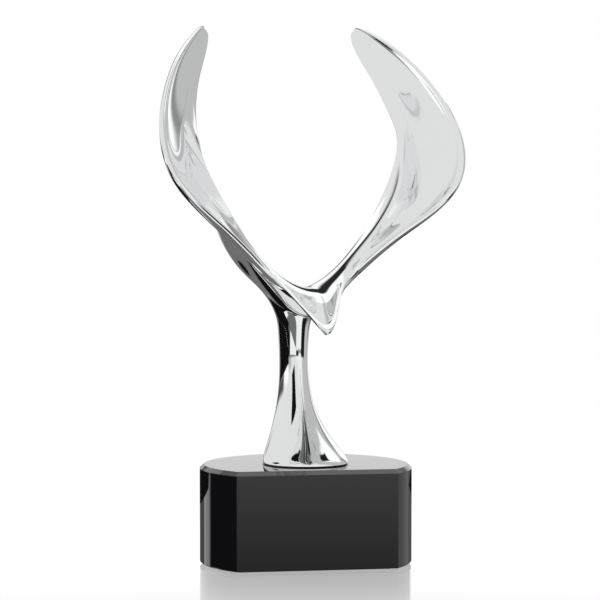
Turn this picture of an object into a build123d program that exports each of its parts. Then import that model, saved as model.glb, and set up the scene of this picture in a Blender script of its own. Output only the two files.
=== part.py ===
from build123d import *
import math
import os

# Chrome eagle trophy on a black glass base. Millimetres, +Z up, the eagle faces -Y.
# The origin is the centre of the base's underside.

# Glass base and what is under it
BASE_RADIUS = 57.5
FRONT_FLAT = 37.8
PAD_THICKNESS = 1.0
PAD_INSET = 6.0
BASE_TOP = 53.9
TOP_BEVEL = 2.2
BOTTOM_BEVEL = 0.6
SLEEVE_HOLE_RADIUS = 6.0
RECESS_RADIUS = 16.0
RECESS_DEPTH = 24.0

# Fastening stack, from the glass downwards
THREAD_RADIUS = 4.0
THREAD_DEPTH_IN_FOOT = 11.0
SLEEVE_WALL = 1.5
RUBBER_WASHER_RADIUS, RUBBER_WASHER_THICKNESS = 14.0, 2.0
STEEL_WASHER_RADIUS, STEEL_WASHER_THICKNESS = 12.0, 2.0
SPRING_WASHER_RADIUS, SPRING_WASHER_THICKNESS = 6.8, 2.0
SPRING_WASHER_GAP = 1.2
NUT_ACROSS_FLATS = 13.0
NUT_HEIGHT = 6.5
STUD_PAST_NUT = 3.0
WASHER_CLEARANCE = 0.3

# Foot of the casting
GASKET_THICKNESS = 0.6
GASKET_RADIUS = 22.5
FOOT_RADIUS = 24.0

# How far the middle of the wing is hollowed, as a part of its chord
BLADE_HOLLOW = 0.07

# Seams between wings and body, on planes that lean with the wings, and the pins across them
SEAM_SUM = 199.0
PIN_RADIUS = 1.0
PIN_LENGTH = 8.0
PINS = ((32.2, -14.0), (29.6, 1.0))
FIT = 0.02

# Right wing and shoulder, from the wing tip down to the middle of the bird.
# Each row is a leading-edge point, a rear-edge point, and the two edge radii.
BLADE = (
    ((44.4, 86.8, 298.0), (42.4, 87.6, 295.0), 0.8, 0.8),
    ((46.4, 82.2, 297.0), (41.6, 85.0, 290.6), 1.4, 1.1),
    ((54.5, 61.5, 289.0), (46.0, 70.0, 276.5), 2.1, 1.4),
    ((66.5, 32.0, 273.0), (52.0, 47.0, 255.5), 2.5, 1.5),
    ((76.0, 1.0, 253.0), (55.5, 24.0, 233.5), 2.7, 1.6),
    ((80.0, -17.0, 239.0), (55.5, 10.0, 223.0), 2.8, 1.8),
    ((80.3, -33.5, 223.0), (53.0, -1.5, 212.5), 2.8, 1.8),
    ((76.5, -44.0, 208.5), (49.8, -9.0, 203.5), 2.8, 1.8),
    ((69.0, -48.5, 198.0), (47.0, -12.0, 197.5), 2.8, 1.8),
    ((58.0, -43.0, 187.5), (43.0, -13.0, 190.0), 2.8, 1.8),
    ((46.0, -32.0, 178.0), (37.0, -11.5, 181.0), 3.0, 2.0),
    ((33.0, -22.0, 166.0), (28.5, -6.0, 169.5), 3.2, 2.2),
    ((21.0, -16.5, 154.5), (19.0, -9.0, 158.5), 3.2, 2.4),
    ((11.0, -37.0, 141.5), (10.0, -22.0, 149.5), 3.4, 2.6),
    ((0.0, -50.0, 136.5), (0.0, -28.0, 147.0), 4.0, 3.0),
)

# Web behind the blade: front point, rear point and thickness, from its top down to the middle.
WEB = (
    ((58.0, 10.0, 226.5), (56.0, 18.5, 227.0), 2.6),
    ((56.5, -4.0, 214.0), (53.5, 23.0, 216.0), 3.4),
    ((52.0, -14.0, 201.5), (49.0, 30.0, 202.0), 4.4),
    ((46.0, -16.5, 190.5), (44.5, 40.5, 187.0), 5.2),
    ((39.0, -15.0, 179.5), (38.5, 50.0, 172.5), 6.0),
    ((29.5, -9.5, 167.5), (29.0, 53.0, 159.5), 7.5),
    ((19.0, -12.0, 156.0), (17.0, 51.5, 149.5), 10.0),
    ((10.0, -22.0, 147.0), (8.0, 50.5, 143.5), 12.5),
    ((0.0, -26.0, 144.0), (0.0, 50.5, 142.0), 13.5),
)

# Head, as upright sections from the beak back into the shoulders: Y, Z of the middle, half width, half height.
HEAD = (
    (-68.2, 126.8, 1.2, 1.2),
    (-61.0, 130.6, 4.2, 3.4),
    (-52.0, 134.8, 6.9, 6.0),
    (-40.0, 140.3, 9.4, 7.4),
    (-26.0, 143.8, 12.4, 8.0),
    (-10.0, 146.0, 16.0, 9.0),
)

# Tail, as level sections from the foot up into the back: Z, front Y, rear Y, half width.
TAIL = (
    (BASE_TOP + GASKET_THICKNESS, -FOOT_RADIUS, FOOT_RADIUS, FOOT_RADIUS),
    (59.0, -18.5, 29.5, 22.6),
    (66.0, -10.0, 37.0, 18.2),
    (74.0, -1.0, 43.5, 13.8),
    (83.5, 7.5, 48.5, 10.2),
    (110.0, 18.5, 51.5, 7.8),
    (130.0, 17.5, 50.5, 8.9),
    (143.0, 10.0, 50.5, 14.0),
)


def base_outline(shrink=0.0):
    """Disc with its front cut flat."""
    disc = Circle(BASE_RADIUS - shrink)
    reach = 2 * BASE_RADIUS
    keep = Pos(0, reach / 2 - FRONT_FLAT + shrink) * Rectangle(2 * reach, reach)
    return disc & keep


def ring(outer, inner, bottom, height):
    """Upright ring standing on the level 'bottom'."""
    return Pos(0, 0, bottom) * extrude(Circle(outer) - Circle(inner), height)


def glass_base():
    block = Pos(0, 0, PAD_THICKNESS) * extrude(base_outline(), BASE_TOP - PAD_THICKNESS)
    rims = block.edges().group_by(Axis.Z)
    block = chamfer(rims[-1], TOP_BEVEL)
    block = chamfer(block.edges().group_by(Axis.Z)[0], BOTTOM_BEVEL)
    block -= Pos(0, 0, PAD_THICKNESS) * extrude(Circle(RECESS_RADIUS), RECESS_DEPTH)
    return block - Pos(0, 0, PAD_THICKNESS) * extrude(Circle(SLEEVE_HOLE_RADIUS), BASE_TOP)


def base_pad():
    return extrude(base_outline(PAD_INSET), PAD_THICKNESS)


def spring_washer(bottom):
    washer = ring(SPRING_WASHER_RADIUS, THREAD_RADIUS + WASHER_CLEARANCE, bottom, SPRING_WASHER_THICKNESS)
    cut = Box(SPRING_WASHER_GAP, SPRING_WASHER_RADIUS, 4 * SPRING_WASHER_THICKNESS)
    return washer - Pos(0, SPRING_WASHER_RADIUS, bottom) * cut


def hex_nut(bottom):
    hexagon = RegularPolygon(NUT_ACROSS_FLATS / 2, 6, major_radius=False)
    nut = extrude(hexagon - Circle(THREAD_RADIUS + FIT), NUT_HEIGHT)
    corner_radius = NUT_ACROSS_FLATS / math.sqrt(3)
    nut &= chamfer(Cylinder(corner_radius, NUT_HEIGHT, align=(Align.CENTER, Align.CENTER, Align.MIN)).edges(), 0.6)
    return Pos(0, 0, bottom) * nut


def outline(front, upper, rear, lower, up):
    """Flat section between two smooth curves that meet squarely at its front and rear."""
    top = Spline(front, *upper, rear, tangents=(up, -up))
    bottom = Spline(rear, *lower, front, tangents=(-up, up))
    return make_face([top, bottom])


def row_middle(row):
    """Point halfway between a row's front and rear points."""
    return (Vector(*row[0]) + Vector(*row[1])) / 2


def span_direction(rows, index):
    """Direction in which neighbouring rows follow each other. The last row lies in the plane X = 0."""
    before = row_middle(rows[max(index - 1, 0)])
    if index + 1 < len(rows):
        after = row_middle(rows[index + 1])
    else:
        after = Vector(-before.X, before.Y, before.Z)
    return (after - before).normalized()


def section_axes(rows, index):
    """Front and rear points of a row, and its directions along the chord and out of the upper side."""
    front = Vector(*rows[index][0])
    rear = Vector(*rows[index][1])
    chord = (rear - front).normalized()
    up = chord.cross(span_direction(rows, index)).normalized()
    return front, rear, chord, up


def blade_section(rows, index):
    """Wing section: round leading edge, hollow upper side, thinner rear edge."""
    front, rear, chord, up = section_axes(rows, index)
    nose, trail = rows[index][2:]
    length = (rear - front).length
    middle = front + chord * 0.5 * length - up * BLADE_HOLLOW * length
    upper = (front + (chord + up) * nose, middle + up * trail, rear + (up - chord) * trail)
    lower = (rear - (chord + up) * trail, middle - up * nose, front + (chord - up) * nose)
    return outline(front, upper, rear, lower, up)


def web_section(rows, index):
    """Section of the web: a flat oval from the lip to the rear edge."""
    front, rear, chord, up = section_axes(rows, index)
    half = rows[index][2] / 2
    length = (rear - front).length
    shoulder = min(half, 0.25 * length)
    middle = front + chord * 0.5 * length
    upper = (front + chord * shoulder + up * half, middle + up * half, rear - chord * shoulder + up * half)
    lower = (rear - chord * shoulder - up * half, middle - up * half, front + chord * shoulder - up * half)
    return outline(front, upper, rear, lower, up)


def right_side():
    """Blade and web of the right wing, down to the middle of the bird."""
    blade = loft([blade_section(BLADE, index) for index in range(len(BLADE))])
    web = loft([web_section(WEB, index) for index in range(len(WEB))])
    return blade + web


def head():
    """Teardrop head that droops to the beak."""
    sections = []
    for y, z, half_width, half_height in HEAD:
        plane = Plane((0, y, z), x_dir=(1, 0, 0), z_dir=(0, 1, 0))
        sections.append(plane * Ellipse(half_width, half_height))
    return loft(sections)


def tail_section(z, front, rear, half_width):
    """Level section: broad and round at the back, narrower at the front."""
    broad = rear - min(half_width, (rear - front) / 2)
    side = Vector(half_width, 0, 0)
    widest = Vector(0, broad, z)
    front_corner = Vector(0, front + 0.3 * (broad - front), z)
    rear_corner = Vector(0, broad + 0.7 * (rear - broad), z)
    upper = (front_corner + side * 0.74, widest + side, rear_corner + side * 0.72)
    lower = (rear_corner - side * 0.72, widest - side, front_corner - side * 0.74)
    return outline(Vector(0, front, z), upper, Vector(0, rear, z), lower, Vector(1, 0, 0))


def tail():
    """Tail that flares into the foot."""
    return loft([tail_section(*row) for row in TAIL])


def beyond_seam():
    """Everything on the wing's side of the right seam."""
    middle = SEAM_SUM / 2
    plane = Plane((middle, 0, middle), x_dir=(0, 1, 0), z_dir=(1, 0, 1))
    return plane * Box(4 * BASE_RADIUS, 2 * SEAM_SUM, SEAM_SUM, align=(Align.CENTER, Align.CENTER, Align.MIN))


def wing_pins(radius):
    """Pins that cross the right seam squarely, each as its own solid."""
    pins = []
    for x, y in PINS:
        plane = Plane((x, y, SEAM_SUM - x), x_dir=(0, 1, 0), z_dir=(1, 0, 1))
        pins.append(plane * Cylinder(radius, PIN_LENGTH))
    return Compound(children=pins)


def castings():
    """Right wing and body, parted at the seams and drilled for the pins and the stud."""
    right = right_side()
    side = beyond_seam()
    holes = wing_pins(PIN_RADIUS + FIT)
    wing = (right & side) - holes
    shoulder = (right - side) - holes
    body = tail() + head() + shoulder + mirror(shoulder, Plane.YZ)
    stud_hole = Cylinder(THREAD_RADIUS + FIT, 2 * THREAD_DEPTH_IN_FOOT)
    body -= Pos(0, 0, BASE_TOP + GASKET_THICKNESS) * stud_hole
    return wing, body


def fastenings():
    """Everything between the foot and the base's recess, from the top downwards."""
    ceiling = PAD_THICKNESS + RECESS_DEPTH
    rubber = ceiling - RUBBER_WASHER_THICKNESS
    steel = rubber - STEEL_WASHER_THICKNESS
    spring = steel - SPRING_WASHER_THICKNESS
    nut = spring - NUT_HEIGHT
    stud_bottom = nut - STUD_PAST_NUT
    stud_top = BASE_TOP + GASKET_THICKNESS + THREAD_DEPTH_IN_FOOT - 1
    loose = THREAD_RADIUS + WASHER_CLEARANCE
    return {
        "foot_gasket": ring(GASKET_RADIUS, SLEEVE_HOLE_RADIUS, BASE_TOP, GASKET_THICKNESS),
        "hole_sleeve": ring(SLEEVE_HOLE_RADIUS - FIT, SLEEVE_HOLE_RADIUS - SLEEVE_WALL, ceiling, BASE_TOP - ceiling),
        "rubber_washer": ring(RUBBER_WASHER_RADIUS, loose, rubber, RUBBER_WASHER_THICKNESS),
        "steel_washer": ring(STEEL_WASHER_RADIUS, loose, steel, STEEL_WASHER_THICKNESS),
        "spring_washer": spring_washer(spring),
        "hex_nut": hex_nut(nut),
        "draw_stud": Pos(0, 0, stud_bottom) * extrude(Circle(THREAD_RADIUS), stud_top - stud_bottom),
    }


def parts():
    """Every sub-part under its own name."""
    wing, body = castings()
    pins = wing_pins(PIN_RADIUS)
    named = {
        "body_casting": body,
        "right_wing": wing,
        "left_wing": mirror(wing, Plane.YZ),
        "right_wing_pins": pins,
        "left_wing_pins": mirror(pins, Plane.YZ),
        "glass_base": glass_base(),
        "base_pad": base_pad(),
    }
    named.update(fastenings())
    return named


os.makedirs("parts", exist_ok=True)
for name, shape in parts().items():
    export_step(shape, f"parts/{name}.step")
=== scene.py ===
import math

import bpy
import numpy as np
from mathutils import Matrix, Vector


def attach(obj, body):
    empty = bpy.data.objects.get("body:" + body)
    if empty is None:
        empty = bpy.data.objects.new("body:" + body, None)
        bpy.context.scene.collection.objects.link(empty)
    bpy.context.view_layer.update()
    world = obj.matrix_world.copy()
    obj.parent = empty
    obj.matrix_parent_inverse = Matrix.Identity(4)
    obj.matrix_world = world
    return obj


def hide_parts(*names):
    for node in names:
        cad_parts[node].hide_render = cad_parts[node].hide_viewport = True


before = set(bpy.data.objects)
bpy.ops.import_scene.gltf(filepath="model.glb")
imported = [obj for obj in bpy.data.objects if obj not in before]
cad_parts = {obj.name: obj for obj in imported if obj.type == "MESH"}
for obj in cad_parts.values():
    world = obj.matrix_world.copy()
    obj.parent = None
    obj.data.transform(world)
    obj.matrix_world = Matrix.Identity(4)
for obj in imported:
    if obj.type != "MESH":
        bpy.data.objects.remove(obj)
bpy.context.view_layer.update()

MM = 0.001

# Camera
CAMERA_AZIMUTH = math.radians(-9.8)
CAMERA_ELEVATION = math.radians(2.13)
CAMERA_DISTANCE = 1.300
CAMERA_AIM_HEIGHT = 0.1427
CAMERA_SIDESTEP = -0.0031
LENS = 144.0

# Floor, in metres: half its width, its height just under the pad, and the mirror image in it, with its
# strength at the base and the distances from the middle between which it fades away.
FLOOR_HALF_WIDTH = 6.0
FLOOR_LEVEL = -0.0002
MIRROR_STRENGTH = 0.58
MIRROR_TINT = 1.28
MIRROR_NEAR, MIRROR_FAR = 0.02, 0.36

# Studio: brightness of the wall all round, then panels laid over it in turn, each with its brightness,
# the azimuth of its middle, half its width, the elevation of its middle, half its height and the softness
# of its edges, in degrees. Azimuth 0 is behind the object and 90 on its right.
WALL_LEVEL = 0.78
PANELS = (
    (0.16, 0, 181, -50, 45, 4),
    (0.50, -20, 40, -2, 3, 2),
    (0.90, 180, 75, -40, 42, 14),
    (0.90, 180, 45, 12, 30, 14),
    (0.30, 180, 45, -10.5, 3, 3.4),
    (0.52, 78, 38, 28, 46, 12),
    (1.08, 16, 18, 36, 34, 6),
    (1.06, 22, 36, 47, 12, 6),
    (0.28, 39, 3.5, 8, 22, 5),
    (0.01, 47, 5, 58, 5, 2),
    (0.01, -85, 62, -7, 3.5, 2),
    (0.01, 112, 36, -20, 18, 4),
    (0.02, 3, 18, 20, 10, 7),
    (0.08, -10, 22, 0, 2, 3),
    (1.15, -34, 9, -9, 11, 5),
    (0.95, -25, 13, -25, 9, 5),
    (0.78, -10, 9, 6, 3, 2),
)

# Cards that only reflections show, in metres. Lying ones have a brightness and four corners, and standing
# ones a brightness, the ends of the foot, and the heights of the foot and the top.
BLACK_CARD, WHITE_CARD = 0.005, 0.90
LYING_CARD_LEVEL = -0.001
LYING_CARDS = {
    "card_floor": (BLACK_CARD, ((-0.30, 0.28), (0.30, 0.28), (0.30, 0.85), (-0.85, 0.85))),
    "card_left": (WHITE_CARD, ((-0.50, 0.36), (-0.60, -0.16), (-1.55, -0.41), (-1.26, 0.95))),
}
STANDING_CARDS = {
    "card_far": (BLACK_CARD, ((-0.85, 0.85), (-0.20, 0.85)), (0.0, 0.075)),
    "card_near": (BLACK_CARD, ((-0.152, 0.031), (-0.129, 0.084)), (0.115, 0.21)),
}

# Rows of the right wing from its tip to the middle of the bird, in millimetres: leading edge, valley, lip
# and, from where the web begins, the web's rear edge.
ROWS = (
    ((45.4, 84.6, 297.0), (43.9, 85.3, 294.9), (41.2, 86.2, 291.8)),
    ((50.5, 71.5, 293.4), (46.6, 76.2, 286.4), (42.6, 80.7, 283.4)),
    ((57.8, 55.0, 286.4), (51.8, 63.6, 274.4), (47.1, 70.1, 272.2)),
    ((66.1, 36.0, 276.3), (56.8, 50.5, 262.4), (51.4, 57.8, 260.0)),
    ((73.2, 16.0, 262.9), (61.0, 36.2, 247.2), (55.2, 36.6, 243.2)),
    ((78.3, -3.5, 249.3), (63.4, 23.2, 234.0), (56.2, 17.6, 228.8), (55.8, 21.5, 230.5)),
    ((81.0, -21.0, 235.0), (62.9, 14.0, 224.5), (55.2, 5.0, 218.5), (54.8, 20.5, 221.5)),
    ((80.8, -35.0, 220.6), (61.8, 8.5, 217.0), (52.9, -4.5, 209.8), (53.1, 23.0, 213.3)),
    ((76.5, -44.2, 207.6), (59.6, 3.0, 208.6), (49.8, -11.0, 202.5), (50.8, 28.0, 204.0)),
    ((68.5, -48.5, 197.3), (54.8, -7.5, 199.6), (46.6, -12.6, 196.0), (47.4, 35.0, 193.6)),
    ((57.5, -42.5, 187.2), (48.6, -15.0, 190.6), (42.3, -13.8, 188.5), (43.0, 43.5, 183.2)),
    ((46.0, -32.0, 178.2), (41.2, -17.0, 181.4), (37.0, -11.5, 180.5), (38.0, 50.5, 172.4)),
    ((34.3, -23.0, 167.8), (31.8, -12.5, 171.4), (29.0, -6.5, 170.5), (30.2, 53.0, 161.0)),
    ((23.0, -17.0, 157.0), (22.6, -10.0, 160.8), (21.0, -5.5, 160.8), (21.7, 51.5, 153.3)),
    ((15.3, -23.0, 148.2), (15.0, -17.5, 152.4), (14.0, -15.0, 153.8), (13.5, 51.0, 149.0)),
    ((10.6, -38.5, 141.5), (9.8, -31.0, 147.6), (8.4, -25.5, 150.2), (7.5, 51.0, 147.0)),
    ((6.4, -57.0, 133.6), (5.2, -45.5, 143.6), (4.0, -34.0, 148.6), (3.5, 51.0, 146.0)),
    ((0.0, -71.8, 124.4), (0.0, -52.0, 142.6), (0.0, -38.0, 148.3), (0.0, 51.0, 145.8)),
)
# For each row, in millimetres: radius of the leading edge and thickness of the blade and, where there is a
# web, thickness of the lip, of the web's front and of its rear, and radius of its rear edge.
SIZES = (
    (1.0, 1.8),
    (1.9, 3.0),
    (2.4, 3.4),
    (2.6, 3.8),
    (2.7, 4.0),
    (2.8, 4.2, 4.2, 3.0, 2.6, 1.1),
    (2.8, 4.2, 4.6, 3.2, 2.6, 1.1),
    (2.8, 4.2, 5.2, 3.6, 2.6, 1.1),
    (2.8, 4.2, 5.6, 3.8, 2.7, 1.2),
    (2.8, 4.2, 6.0, 4.0, 2.8, 1.2),
    (2.8, 4.2, 6.2, 4.2, 2.8, 1.2),
    (2.8, 4.3, 6.4, 4.4, 2.9, 1.3),
    (2.8, 4.4, 6.6, 4.8, 3.1, 1.4),
    (2.8, 4.6, 7.2, 5.8, 4.0, 1.8),
    (2.8, 5.2, 9.0, 8.0, 6.0, 2.4),
    (3.0, 7.0, 12.0, 12.0, 8.0, 3.0),
    (3.0, 9.5, 15.0, 15.5, 9.5, 3.4),
    (2.4, 11.0, 16.5, 16.5, 10.0, 3.5),
)
# Rise of the web's upper side above a straight line from lip to rear, as a share of its width.
WEB_RISE = 0.033
# The groove along the valley: half its width, and its depth in the rows that have it.
GROOVE_WIDTH = 1.2
GROOVE_DEPTHS = {4: 0.15, 5: 0.3, 6: 0.4, 7: 0.4, 8: 0.4, 9: 0.3, 10: 0.15}
# Dips of the panel below a straight line from leading edge to valley, as shares of its depth: the middle,
# and beside the leading edge, where the upper rows dip more.
PANEL_DIP = 0.035
RIM_DIP = 0.02
UPPER_RIM_DIPS = {0: 0.03, 1: 0.05, 2: 0.05, 3: 0.05, 4: 0.045, 5: 0.035}
# Share of the edge radius by which the nose leads the edge points, and by which its shoulders stand off.
NOSE_LEAD = 0.25
NOSE_SHOULDER = 0.9
# Thickness of a blade's rear edge where there is no web, and how much that edge bulges.
TRAILING_EDGE = 2.4
TRAILING_BULGE = 0.4
# How far the small ring that rounds off a tip stands out from the last row, and its scale.
TIP_ROUNDING = 1.6
TIP_SHRINK = 0.5

# Loops round a section. 0 is the leading edge and 1 to 4 the panel's upper side, 9 to 12 the web's upper
# side, 16 to 19 its underside and 21 to 27 the panel's underside.
LOOPS = 28
VALLEY, LIP, REAR_TOP, REAR, REAR_BOTTOM, KEEL = 5, 8, 13, 14, 15, 20
# Columns of points from tip to tip, and the one in the middle of the bird.
COLUMNS = 2 * len(ROWS) + 1
MIDDLE = len(ROWS)
# The tail grows out of an opening under the body: its front loop, and its columns to each side.
TAIL_FRONT = 17
TAIL_SPAN = 3

# Level rings of the tail, in millimetres: height, front, rear and half width.
TAIL = (
    (134.0, 12.5, 52.0, 9.6),
    (124.0, 16.0, 51.5, 8.5),
    (110.0, 18.5, 51.0, 7.7),
    (96.0, 15.0, 50.0, 8.1),
    (84.0, 8.0, 47.5, 10.0),
    (74.0, -1.0, 43.0, 13.7),
    (66.0, -10.0, 36.5, 18.1),
    (60.0, -17.5, 30.0, 22.2),
    (57.2, -21.8, 26.2, 23.9),
    (55.5, -23.9, 24.6, 24.5),
    (54.5, -24.0, 24.7, 24.6),
)
# Directions of a ring's points in degrees, in the order of the opening, from the left front.
TAIL_ANGLES = (-145, -127, -108, -90, -72, -53, -35, 0, 30, 50, 70, 90, 110, 130, 150, 180)

# Runs of edges kept firm: loop, first row, the row after the last, and firmness.
FIRM_RUNS = ((VALLEY, 1, 11, 0.75), (LIP, 5, 14, 0.65), (KEEL, 6, 15, 0.4))
# Rounds of subdivision, then areas smoothed after them: middle and radii in millimetres, and rounds.
SKIN_LEVELS = 3
CALM_AREAS = (((15.0, -14.0, 146.0), (22.0, 34.0, 15.0), 120),)

# Foam pad, in millimetres: radius of its outline and distance of its front flat, steps of the arc and of
# the flat, and its inset and height from bottom to top.
PAD_RADIUS, PAD_FLAT = 51.5, 31.8
PAD_STEPS, PAD_FLAT_STEPS = 96, 12
PAD_LEVELS = ((0.5, 0.0), (0.12, 0.2), (0.0, 0.5), (0.12, 0.8), (0.4, 1.0))

# Most values of a noise texture lie between these.
NOISE_LOW, NOISE_HIGH = 0.3, 0.7
# Glass whose normal has an upward part within a margin of this is a bevel, painted lighter: partly the
# grey of a ground edge, partly a painted sheen.
BEVEL_SLOPE, BEVEL_MARGIN = 0.7, 0.2


def unit(vector):
    return vector.normalized()


def mirrored(point):
    return Vector((-point.x, point.y, point.z))


def along(points, fraction):
    """Point at a fraction of the length of a run of points."""
    lengths = [(b - a).length for a, b in zip(points, points[1:])]
    left = fraction * sum(lengths)
    for start, end, length in zip(points, points[1:], lengths):
        if left <= length:
            return start.lerp(end, left / length)
        left -= length
    return points[-1].copy()


def row_points(index):
    return [Vector(point) for point in ROWS[index]]


def span_at(index):
    """Direction from a row's neighbour nearer the tip to its neighbour nearer the middle."""
    before = row_points(max(index - 1, 0))
    start = (before[0] + before[2]) / 2
    if index + 1 < len(ROWS):
        after = row_points(index + 1)
        end = (after[0] + after[2]) / 2
    else:
        end = mirrored(start)
    return unit(end - start)


def directions(index, start, end):
    """Direction from one point of a row to another, and the direction out of the upper side there."""
    chord = unit(end - start)
    return chord, unit(chord.cross(span_at(index)))


def upper_panel(index):
    """Ring of a row with its leading edge, panel, valley and lip in place."""
    front, valley, lip = row_points(index)[:3]
    radius = SIZES[index][0]
    up = directions(index, front, lip)[1]
    panel, panel_up = directions(index, front, valley)
    strip = unit(lip - valley)
    depth, width = (valley - front).length, (lip - valley).length
    shoulder = NOSE_SHOULDER * radius
    ring = [None] * LOOPS
    ring[0] = front - panel * NOSE_LEAD * radius
    ring[1] = front + panel * shoulder + panel_up * shoulder
    ring[2] = front.lerp(valley, 0.19) - panel_up * UPPER_RIM_DIPS.get(index, RIM_DIP) * depth
    ring[3] = front.lerp(valley, 0.60) - panel_up * PANEL_DIP * depth
    ring[4] = valley - panel * min(GROOVE_WIDTH, 0.1 * depth)
    ring[VALLEY] = valley - panel_up * GROOVE_DEPTHS.get(index, 0.0)
    ring[6] = valley + strip * min(GROOVE_WIDTH, 0.3 * width)
    ring[7] = valley.lerp(lip, 0.62) + up * 0.05 * width
    ring[LIP] = lip
    ring[27] = front + panel * shoulder - panel_up * shoulder
    return ring


def close_blade(ring, index):
    """Completes a row above the web with a thin trailing edge and an underside like its upper side."""
    front, valley, lip = row_points(index)
    blade = SIZES[index][1]
    chord, up = directions(index, front, lip)
    thin = min(TRAILING_EDGE, blade)
    rear = lip - up * thin
    for loop, share in zip(range(LIP + 1, REAR), (0.18, 0.36, 0.54, 0.72, 0.88)):
        ring[loop] = lip.lerp(rear, share) + chord * TRAILING_BULGE * thin * math.sin(math.pi * share)
    ring[REAR] = rear
    surface = [lip, ring[7], valley, ring[3], ring[2], front]
    shares = (0.03, 0.07, 0.12, 0.18, 0.24, 0.31, 0.36, 0.41, 0.46, 0.52, 0.62, 0.80)
    for loop, share in zip(range(REAR_BOTTOM, LOOPS - 1), shares):
        thickness = thin + (blade - thin) * min(share / 0.3, 1.0)
        ring[loop] = along(surface, share) - up * thickness


def add_web(ring, index):
    """Adds a row's web behind the lip, and its rear edge."""
    lip, rear = row_points(index)[2:]
    keel, web, web_rear, rear_radius = SIZES[index][2:]
    back, web_up = directions(index, lip, rear)
    rise = WEB_RISE * (rear - lip).length
    over_tail = index >= len(ROWS) - 1 - TAIL_SPAN
    tuck = 0.0 if over_tail else rear_radius
    for loop, share, part in ((9, 0.12, 0.9), (10, 0.35, 1.0), (11, 0.57, 1.0), (12, 0.80, 0.6)):
        ring[loop] = lip.lerp(rear, share) + web_up * rise * part
    ring[REAR_TOP] = rear - back * rear_radius + web_up * rear_radius
    ring[REAR] = rear
    ring[REAR_BOTTOM] = rear - back * tuck - web_up * rear_radius
    ring[16] = lip.lerp(rear, 0.80) - web_up * web_rear
    ring[17] = lip.lerp(rear, 0.57) - web_up * (0.5 * web + 0.5 * web_rear)
    ring[18] = lip.lerp(rear, 0.35) - web_up * web
    ring[19] = lip.lerp(rear, 0.12) - web_up * (0.7 * keel + 0.3 * web)


def add_underside(ring, index):
    """Adds the underside of a row's panel, from the keel forwards."""
    front, valley, lip, rear = row_points(index)
    radius, blade, keel = SIZES[index][:3]
    panel, panel_up = directions(index, front, valley)
    web_up = directions(index, lip, rear)[1]
    strip = unit(lip - valley)
    depth = (valley - front).length
    ring[KEEL] = lip - unit(web_up + panel_up) * keel
    ring[21] = ring[7] - unit(0.4 * web_up + 0.6 * panel_up) * (0.6 * keel + 0.4 * blade)
    ring[23] = valley - panel_up * (0.2 * keel + 0.8 * blade)
    ring[22] = ring[23] + strip * 2 * GROOVE_WIDTH
    ring[24] = ring[23] - panel * 2 * GROOVE_WIDTH
    ring[25] = ring[3] - panel_up * min(blade, 1.6 * radius + 0.30 * depth)
    ring[26] = ring[2] - panel_up * min(0.85 * blade, 1.6 * radius + 0.06 * depth)


def section(index):
    """The ring of points round one row of the wing."""
    ring = upper_panel(index)
    if len(ROWS[index]) == 3:
        close_blade(ring, index)
    else:
        add_web(ring, index)
        add_underside(ring, index)
    return ring


def tip_ring(ring, inner_ring):
    """Small ring that rounds off the end of a wing."""
    centre = sum(ring, Vector()) / LOOPS
    inner = sum(inner_ring, Vector()) / LOOPS
    outwards = unit(centre - inner) * TIP_ROUNDING
    return [centre.lerp(point, TIP_SHRINK) + outwards for point in ring]


def wing_columns():
    """Rings of points from the right tip over the body to the left tip."""
    right = [section(index) for index in range(len(ROWS))]
    right.insert(0, tip_ring(right[0], right[1]))
    return right + [[mirrored(point) for point in ring] for ring in reversed(right[:-1])]


def at(column, loop):
    """Number of the point where a column and a loop cross."""
    return column * LOOPS + loop % LOOPS


def wing_faces():
    """Faces between neighbouring columns, except at the opening for the tail."""
    faces = []
    for column in range(COLUMNS - 1):
        after = column + 1
        over_tail = abs(column + 0.5 - MIDDLE) < TAIL_SPAN
        for loop in range(LOOPS):
            if over_tail and REAR_BOTTOM <= loop < TAIL_FRONT:
                continue
            faces.append((at(column, loop), at(after, loop), at(after, loop + 1), at(column, loop + 1)))
    return faces


def tip_caps():
    """Faces that close the first and the last column."""
    caps = []
    for column, flip in ((0, False), (COLUMNS - 1, True)):
        cap = [(at(column, 0), at(column, 1), at(column, LOOPS - 1))]
        for loop in range(1, REAR_TOP):
            cap.append((at(column, loop), at(column, loop + 1), at(column, -loop - 1), at(column, -loop)))
        cap.append((at(column, REAR_TOP), at(column, REAR), at(column, REAR_BOTTOM)))
        caps += [face[::-1] if flip else face for face in cap]
    return caps


def tail_opening():
    """Numbers of the points round the opening under the body."""
    right, left = MIDDLE - TAIL_SPAN, MIDDLE + TAIL_SPAN
    front = [at(column, TAIL_FRONT) for column in range(left, right - 1, -1)]
    rear = [at(column, REAR_BOTTOM) for column in range(right, left + 1)]
    return front + [at(right, REAR_BOTTOM + 1)] + rear + [at(left, REAR_BOTTOM + 1)]


def tail_ring(height, front, rear, half_width):
    """Level ring of the tail, in the order of the opening under the body."""
    widest = rear - min(half_width, (rear - front) / 2)
    points = []
    for angle in TAIL_ANGLES:
        across = math.cos(math.radians(angle))
        deep = math.sin(math.radians(angle))
        reach = rear - widest if deep > 0 else widest - front
        points.append(Vector((half_width * across, widest + reach * deep, height)))
    return points


def add_tail(points, faces):
    """Adds the tail to the cage, ring below ring, and gives the numbers of the last ring."""
    ring_before = tail_opening()
    count = len(ring_before)
    for row in TAIL:
        ring_now = list(range(len(points), len(points) + count))
        points += tail_ring(*row)
        for i in range(count):
            j = (i + 1) % count
            faces.append((ring_before[i], ring_before[j], ring_now[j], ring_now[i]))
        ring_before = ring_now
    faces.append(tuple(ring_before))
    return ring_before


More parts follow.
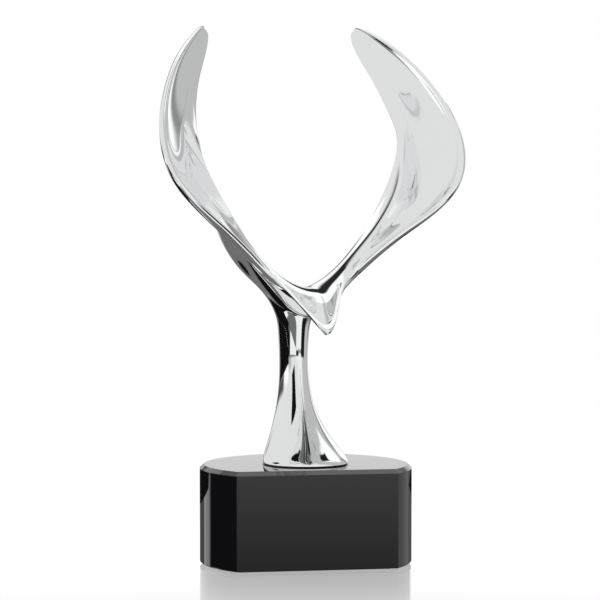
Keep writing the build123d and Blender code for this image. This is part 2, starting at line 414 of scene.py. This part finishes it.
def firm_edges(foot):
    """Firmness of the edges along the valley, the lip, the keel and the foot."""
    firm = {}
    for column in range(COLUMNS - 1):
        row = min(column, COLUMNS - 2 - column) - 1
        for loop, first, end, firmness in FIRM_RUNS:
            if first <= row < end:
                firm[(at(column, loop), at(column + 1, loop))] = firmness
    for i, point in enumerate(foot):
        firm[(point, foot[(i + 1) % len(foot)])] = 1.0
    return firm


def figure_cage():
    """Points and faces of the coarse cage of the whole bird, and the edges to keep firm."""
    points = [point for ring in wing_columns() for point in ring]
    faces = wing_faces() + tip_caps()
    foot = add_tail(points, faces)
    return points, faces, firm_edges(foot)


def mesh_object(name, points, faces):
    mesh = bpy.data.meshes.new(name)
    mesh.from_pydata([tuple(point) for point in points], [], faces)
    mesh.validate()
    obj = bpy.data.objects.new(name, mesh)
    bpy.context.scene.collection.objects.link(obj)
    return obj


def calm(mesh, centre, radii, rounds):
    """Smooths the skin within an ellipsoid and its mirror image, most at its middle."""
    count = len(mesh.vertices)
    places = np.zeros(3 * count)
    mesh.vertices.foreach_get("co", places)
    places = places.reshape(-1, 3)
    ends = np.zeros(2 * len(mesh.edges), dtype=int)
    mesh.edges.foreach_get("vertices", ends)
    first, second = ends.reshape(-1, 2).T
    folded = np.abs(places * (1, 0, 0)) + places * (0, 1, 1)
    reach = np.linalg.norm((folded - np.array(centre) * MM) / (np.array(radii) * MM), axis=1)
    weight = np.clip(2 * (1 - reach), 0, 1)
    both, other = np.concatenate((first, second)), np.concatenate((second, first))
    degree = np.bincount(both, minlength=count)
    for _ in range(rounds):
        for axis in range(3):
            mean = np.bincount(both, places[other, axis], count) / degree
            places[:, axis] += 0.5 * weight * (mean - places[:, axis])
    mesh.vertices.foreach_set("co", places.ravel())
    mesh.update()


def make_figure():
    """The whole bird as one smooth skin."""
    points, faces, firm = figure_cage()
    obj = mesh_object("eagle", [point * MM for point in points], faces)
    mesh = obj.data
    crease = mesh.attributes.new("crease_edge", "FLOAT", "EDGE")
    for edge in mesh.edges:
        a, b = edge.vertices
        crease.data[edge.index].value = firm.get((a, b), firm.get((b, a), 0.0))
    smooth = obj.modifiers.new("skin", "SUBSURF")
    smooth.levels = SKIN_LEVELS
    evaluated = obj.evaluated_get(bpy.context.evaluated_depsgraph_get())
    finished = bpy.data.meshes.new_from_object(evaluated)
    obj.modifiers.clear()
    obj.data = finished
    finished.flip_normals()
    for area in CALM_AREAS:
        calm(finished, *area)
    for polygon in finished.polygons:
        polygon.use_smooth = True
    return obj


def new_material(name):
    material = bpy.data.materials.new(name)
    material.use_nodes = True
    nodes = material.node_tree.nodes
    return material, nodes, material.node_tree.links, nodes["Principled BSDF"]


def bare_material(name):
    """A material with no shader yet, and the socket that takes one."""
    material, nodes, links, shader = new_material(name)
    nodes.remove(shader)
    return material, nodes, links, nodes["Material Output"].inputs["Surface"]


def feed(links, value, socket):
    """Sets a socket to a number, or links another node's output to it."""
    if isinstance(value, (int, float)):
        socket.default_value = value
    else:
        links.new(value, socket)


def math_node(nodes, links, operation, *values):
    node = nodes.new("ShaderNodeMath")
    node.operation = operation
    for socket, value in zip(node.inputs, values):
        feed(links, value, socket)
    return node.outputs["Value"]


def map_range(nodes, links, value, start, end, kind="LINEAR"):
    """A value moved from one range, a pair of numbers, to another."""
    ranges = nodes.new("ShaderNodeMapRange")
    ranges.interpolation_type = kind
    ranges.inputs["From Min"].default_value, ranges.inputs["From Max"].default_value = start
    ranges.inputs["To Min"].default_value, ranges.inputs["To Max"].default_value = end
    links.new(value, ranges.inputs["Value"])
    return ranges.outputs["Result"]


def inside(nodes, links, angle, half, soft):
    """1 where an angle is within half of zero, falling smoothly to 0 over soft."""
    size = math_node(nodes, links, "ABSOLUTE", angle)
    return map_range(nodes, links, size, (half - soft / 2, half + soft / 2), (1.0, 0.0), "SMOOTHSTEP")


def noise(nodes, links, place, scale, detail=3.0):
    """Noise by place, in the object's own frame."""
    texture = nodes.new("ShaderNodeTexNoise")
    texture.inputs["Scale"].default_value = scale
    texture.inputs["Detail"].default_value = detail
    links.new(place, texture.inputs["Vector"])
    return texture.outputs["Fac"]


def spread(nodes, links, grain, low, high):
    """Noise stretched to run from low to high."""
    return map_range(nodes, links, grain, (NOISE_LOW, NOISE_HIGH), (low, high))


def shade_between(nodes, links, factor, dark, light):
    shade = nodes.new("ShaderNodeMix")
    shade.data_type = "RGBA"
    links.new(factor, shade.inputs["Factor"])
    shade.inputs["A"].default_value = (*dark, 1)
    shade.inputs["B"].default_value = (*light, 1)
    return shade.outputs["Result"]


def chrome():
    material, nodes, links, shader = new_material("mirror_chrome")
    shader.inputs["Base Color"].default_value = (0.93, 0.935, 0.94, 1)
    shader.inputs["Metallic"].default_value = 1.0
    place = nodes.new("ShaderNodeTexCoord").outputs["Object"]
    haze = noise(nodes, links, place, 60.0)
    links.new(spread(nodes, links, haze, 0.03, 0.055), shader.inputs["Roughness"])
    return material


def black_glass():
    """Polished glass, with the bevels painted a little lighter: partly the grey of ground edges, partly a
    painted sheen for the light they catch.
    """
    material, nodes, links, shader = new_material("black_glass_polish")
    shader.inputs["IOR"].default_value = 1.52
    coords = nodes.new("ShaderNodeTexCoord")
    haze = noise(nodes, links, coords.outputs["Object"], 35.0)
    links.new(spread(nodes, links, haze, 0.015, 0.05), shader.inputs["Roughness"])
    facing = nodes.new("ShaderNodeSeparateXYZ")
    links.new(coords.outputs["Normal"], facing.inputs["Vector"])
    slope = math_node(nodes, links, "SUBTRACT", facing.outputs["Z"], BEVEL_SLOPE)
    bevel_sheen_and_grind = inside(nodes, links, slope, BEVEL_MARGIN, BEVEL_MARGIN / 2)
    # Bevels get a lighter base colour: a painted sheen standing in for the light they catch, and partly
    # the grey of a ground edge.
    shade = shade_between(nodes, links, bevel_sheen_and_grind, (0.006, 0.006, 0.007), (0.12, 0.12, 0.125))
    links.new(shade, shader.inputs["Base Color"])
    return material


def speckled(name, dark, light, scale, low, high, metal=0.0, bump=0.0, stretch=(1, 1, 1)):
    """A material whose colour and gloss vary with noise, which may be stretched along an axis."""
    material, nodes, links, shader = new_material(name)
    shader.inputs["Metallic"].default_value = metal
    mapping = nodes.new("ShaderNodeMapping")
    mapping.inputs["Scale"].default_value = stretch
    links.new(nodes.new("ShaderNodeTexCoord").outputs["Object"], mapping.inputs["Vector"])
    grain = noise(nodes, links, mapping.outputs["Vector"], scale, 5.0)
    shade = shade_between(nodes, links, spread(nodes, links, grain, 0.0, 1.0), dark, light)
    links.new(shade, shader.inputs["Base Color"])
    links.new(spread(nodes, links, grain, low, high), shader.inputs["Roughness"])
    if bump:
        relief = nodes.new("ShaderNodeBump")
        relief.inputs["Strength"].default_value = bump
        relief.inputs["Distance"].default_value = 0.0002
        links.new(grain, relief.inputs["Height"])
        links.new(relief.outputs["Normal"], shader.inputs["Normal"])
    return material


def make_camera():
    azimuth, elevation = CAMERA_AZIMUTH, CAMERA_ELEVATION
    flat = math.cos(elevation)
    back = Vector((math.sin(azimuth) * flat, -math.cos(azimuth) * flat, math.sin(elevation)))
    right = Vector((math.cos(azimuth), math.sin(azimuth), 0))
    data = bpy.data.cameras.new("camera")
    data.lens = LENS
    data.sensor_width = 36.0
    camera = bpy.data.objects.new("camera", data)
    bpy.context.scene.collection.objects.link(camera)
    camera.location = Vector((0, 0, CAMERA_AIM_HEIGHT)) + right * CAMERA_SIDESTEP + back * CAMERA_DISTANCE
    camera.rotation_euler = (math.pi / 2 - elevation, 0, azimuth)
    bpy.context.scene.camera = camera


def azimuth_from(nodes, links, direction, azimuth):
    """Azimuth of a direction measured from a given azimuth, both in radians."""
    turned = nodes.new("ShaderNodeVectorRotate")
    turned.rotation_type = "Z_AXIS"
    turned.inputs["Angle"].default_value = azimuth
    links.new(direction, turned.inputs["Vector"])
    split = nodes.new("ShaderNodeSeparateXYZ")
    links.new(turned.outputs["Vector"], split.inputs["Vector"])
    return math_node(nodes, links, "ARCTAN2", split.outputs["X"], split.outputs["Y"])


def mix(nodes, links, factor, first, second):
    """One brightness where the factor is 0 and another where it is 1."""
    mixed = nodes.new("ShaderNodeMix")
    links.new(factor, mixed.inputs["Factor"])
    feed(links, first, mixed.inputs["A"])
    feed(links, second, mixed.inputs["B"])
    return mixed.outputs["Result"]


def make_world():
    """A grey studio with lit and dark panels round it. The camera itself sees plain white."""
    world = bpy.data.worlds.new("studio")
    bpy.context.scene.world = world
    world.use_nodes = True
    nodes, links = world.node_tree.nodes, world.node_tree.links
    direction = nodes.new("ShaderNodeTexCoord").outputs["Generated"]
    split = nodes.new("ShaderNodeSeparateXYZ")
    links.new(direction, split.inputs["Vector"])
    elevation = math_node(nodes, links, "ARCSINE", split.outputs["Z"])
    level = WALL_LEVEL
    for brightness, *angles in PANELS:
        azimuth, half_width, middle, half_height, soft = (math.radians(angle) for angle in angles)
        above = math_node(nodes, links, "SUBTRACT", elevation, middle)
        across = azimuth_from(nodes, links, direction, azimuth)
        in_width = inside(nodes, links, across, half_width, soft)
        in_height = inside(nodes, links, above, half_height, soft)
        panel = math_node(nodes, links, "MULTIPLY", in_width, in_height)
        level = mix(nodes, links, panel, level, brightness)
    from_camera = nodes.new("ShaderNodeLightPath").outputs["Is Camera Ray"]
    shown = mix(nodes, links, from_camera, level, 1.0)
    links.new(shown, nodes["Background"].inputs["Color"])


def make_floor():
    """A white floor that only the camera sees, with a fading mirror image of the base."""
    size = FLOOR_HALF_WIDTH
    plan = ((-size, -size), (size, -size), (size, size), (-size, size))
    floor = mesh_object("floor", [(*corner, FLOOR_LEVEL) for corner in plan], [(0, 1, 2, 3)])
    material, nodes, links, surface = bare_material("floor_white")
    white = nodes.new("ShaderNodeEmission")
    white.inputs["Color"].default_value = (1, 1, 1, 1)
    mirror = nodes.new("ShaderNodeBsdfGlossy")
    mirror.inputs["Roughness"].default_value = 0.03
    mirror.inputs["Color"].default_value = (MIRROR_TINT, MIRROR_TINT, MIRROR_TINT, 1)
    distance = nodes.new("ShaderNodeVectorMath")
    distance.operation = "LENGTH"
    links.new(nodes.new("ShaderNodeTexCoord").outputs["Object"], distance.inputs[0])
    reach, strengths = (MIRROR_NEAR, MIRROR_FAR), (MIRROR_STRENGTH, 0.0)
    fade = map_range(nodes, links, distance.outputs["Value"], reach, strengths, "SMOOTHSTEP")
    mixed = nodes.new("ShaderNodeMixShader")
    links.new(fade, mixed.inputs["Fac"])
    links.new(white.outputs["Emission"], mixed.inputs[1])
    links.new(mirror.outputs["BSDF"], mixed.inputs[2])
    links.new(mixed.outputs["Shader"], surface)
    floor.data.materials.append(material)
    floor.visible_glossy = False
    floor.visible_diffuse = False
    floor.visible_shadow = False


def make_card(name, level, corners):
    """A flat card that shows only in reflections and has its own brightness."""
    card = mesh_object(name, corners, [(0, 1, 2, 3)])
    material, nodes, links, surface = bare_material(name)
    glow = nodes.new("ShaderNodeEmission")
    glow.inputs["Color"].default_value = (level, level, level, 1)
    links.new(glow.outputs["Emission"], surface)
    card.data.materials.append(material)
    card.visible_camera = False
    card.visible_diffuse = False
    card.visible_shadow = False


def make_cards():
    for name, (level, plan) in LYING_CARDS.items():
        make_card(name, level, [(*corner, LYING_CARD_LEVEL) for corner in plan])
    for name, (level, (left, right), (foot, top)) in STANDING_CARDS.items():
        make_card(name, level, [(*left, foot), (*right, foot), (*right, top), (*left, top)])


def make_bird():
    bird = make_figure()
    bird.data.materials.append(chrome())
    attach(bird, "root")
    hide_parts("body_casting", "left_wing", "right_wing")


def pad_outline(inset, height):
    """Points of the pad's outline at one height: the long arc, then the front flat."""
    radius, flat = PAD_RADIUS - inset, PAD_FLAT - inset
    corner = math.asin(flat / radius)
    half_flat = radius * math.cos(corner)
    points = []
    for i in range(PAD_STEPS + 1):
        angle = -corner + (math.pi + 2 * corner) * i / PAD_STEPS
        points.append(Vector((radius * math.cos(angle), radius * math.sin(angle), height)) * MM)
    for i in range(1, PAD_FLAT_STEPS):
        points.append(Vector((half_flat * (2 * i / PAD_FLAT_STEPS - 1), -flat, height)) * MM)
    return points


def make_pad():
    """The foam pad under the base, its cut edge swelling a little between two pinched faces."""
    outlines = [pad_outline(inset, height) for inset, height in PAD_LEVELS]
    count = len(outlines[0])
    last = count * (len(outlines) - 1)
    faces = [tuple(reversed(range(count))), tuple(range(last, last + count))]
    for low in range(0, last, count):
        high = low + count
        for i in range(count):
            j = (i + 1) % count
            faces.append((low + i, low + j, high + j, high + i))
    pad = mesh_object("foam_pad", [point for outline in outlines for point in outline], faces)
    foam = speckled("foam", (0.008, 0.008, 0.008), (0.03, 0.03, 0.03), 900.0, 0.85, 1.0, bump=0.8)
    pad.data.materials.append(foam)
    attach(pad, "root")
    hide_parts("base_pad")


def plated_steel():
    return speckled("zinc_plate", (0.50, 0.51, 0.52), (0.66, 0.67, 0.68), 500.0, 0.22, 0.38, metal=1.0)


def ground_steel():
    """Steel with the grain of grinding stretched across."""
    dark, light = (0.42, 0.42, 0.43), (0.58, 0.58, 0.59)
    return speckled("ground_steel", dark, light, 900.0, 0.18, 0.34, metal=1.0, stretch=(0.1, 1, 1))


def rubber():
    return speckled("rubber", (0.010, 0.010, 0.010), (0.022, 0.022, 0.022), 700.0, 0.65, 0.85, bump=0.3)


def nylon():
    return speckled("nylon", (0.78, 0.77, 0.73), (0.86, 0.85, 0.82), 300.0, 0.35, 0.50)


def gasket_fibre():
    dark, light = (0.03, 0.03, 0.03), (0.10, 0.10, 0.10)
    return speckled("gasket_fibre", dark, light, 1200.0, 0.80, 0.95, bump=0.4)


def dress_cad_nodes():
    """Gives every CAD node that stays in the visual model its material."""
    looks = (
        (black_glass(), ("glass_base",)),
        (ground_steel(), ("left_wing_pins", "right_wing_pins")),
        (gasket_fibre(), ("foot_gasket",)),
        (nylon(), ("hole_sleeve",)),
        (rubber(), ("rubber_washer",)),
        (plated_steel(), ("steel_washer", "spring_washer", "hex_nut", "draw_stud")),
    )
    for look, names in looks:
        for name in names:
            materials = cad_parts[name].data.materials
            materials.clear()
            materials.append(look)


make_camera()
make_world()
make_floor()
make_cards()
make_bird()
make_pad()
dress_cad_nodes()
bpy.context.scene.view_settings.view_transform = "Standard"
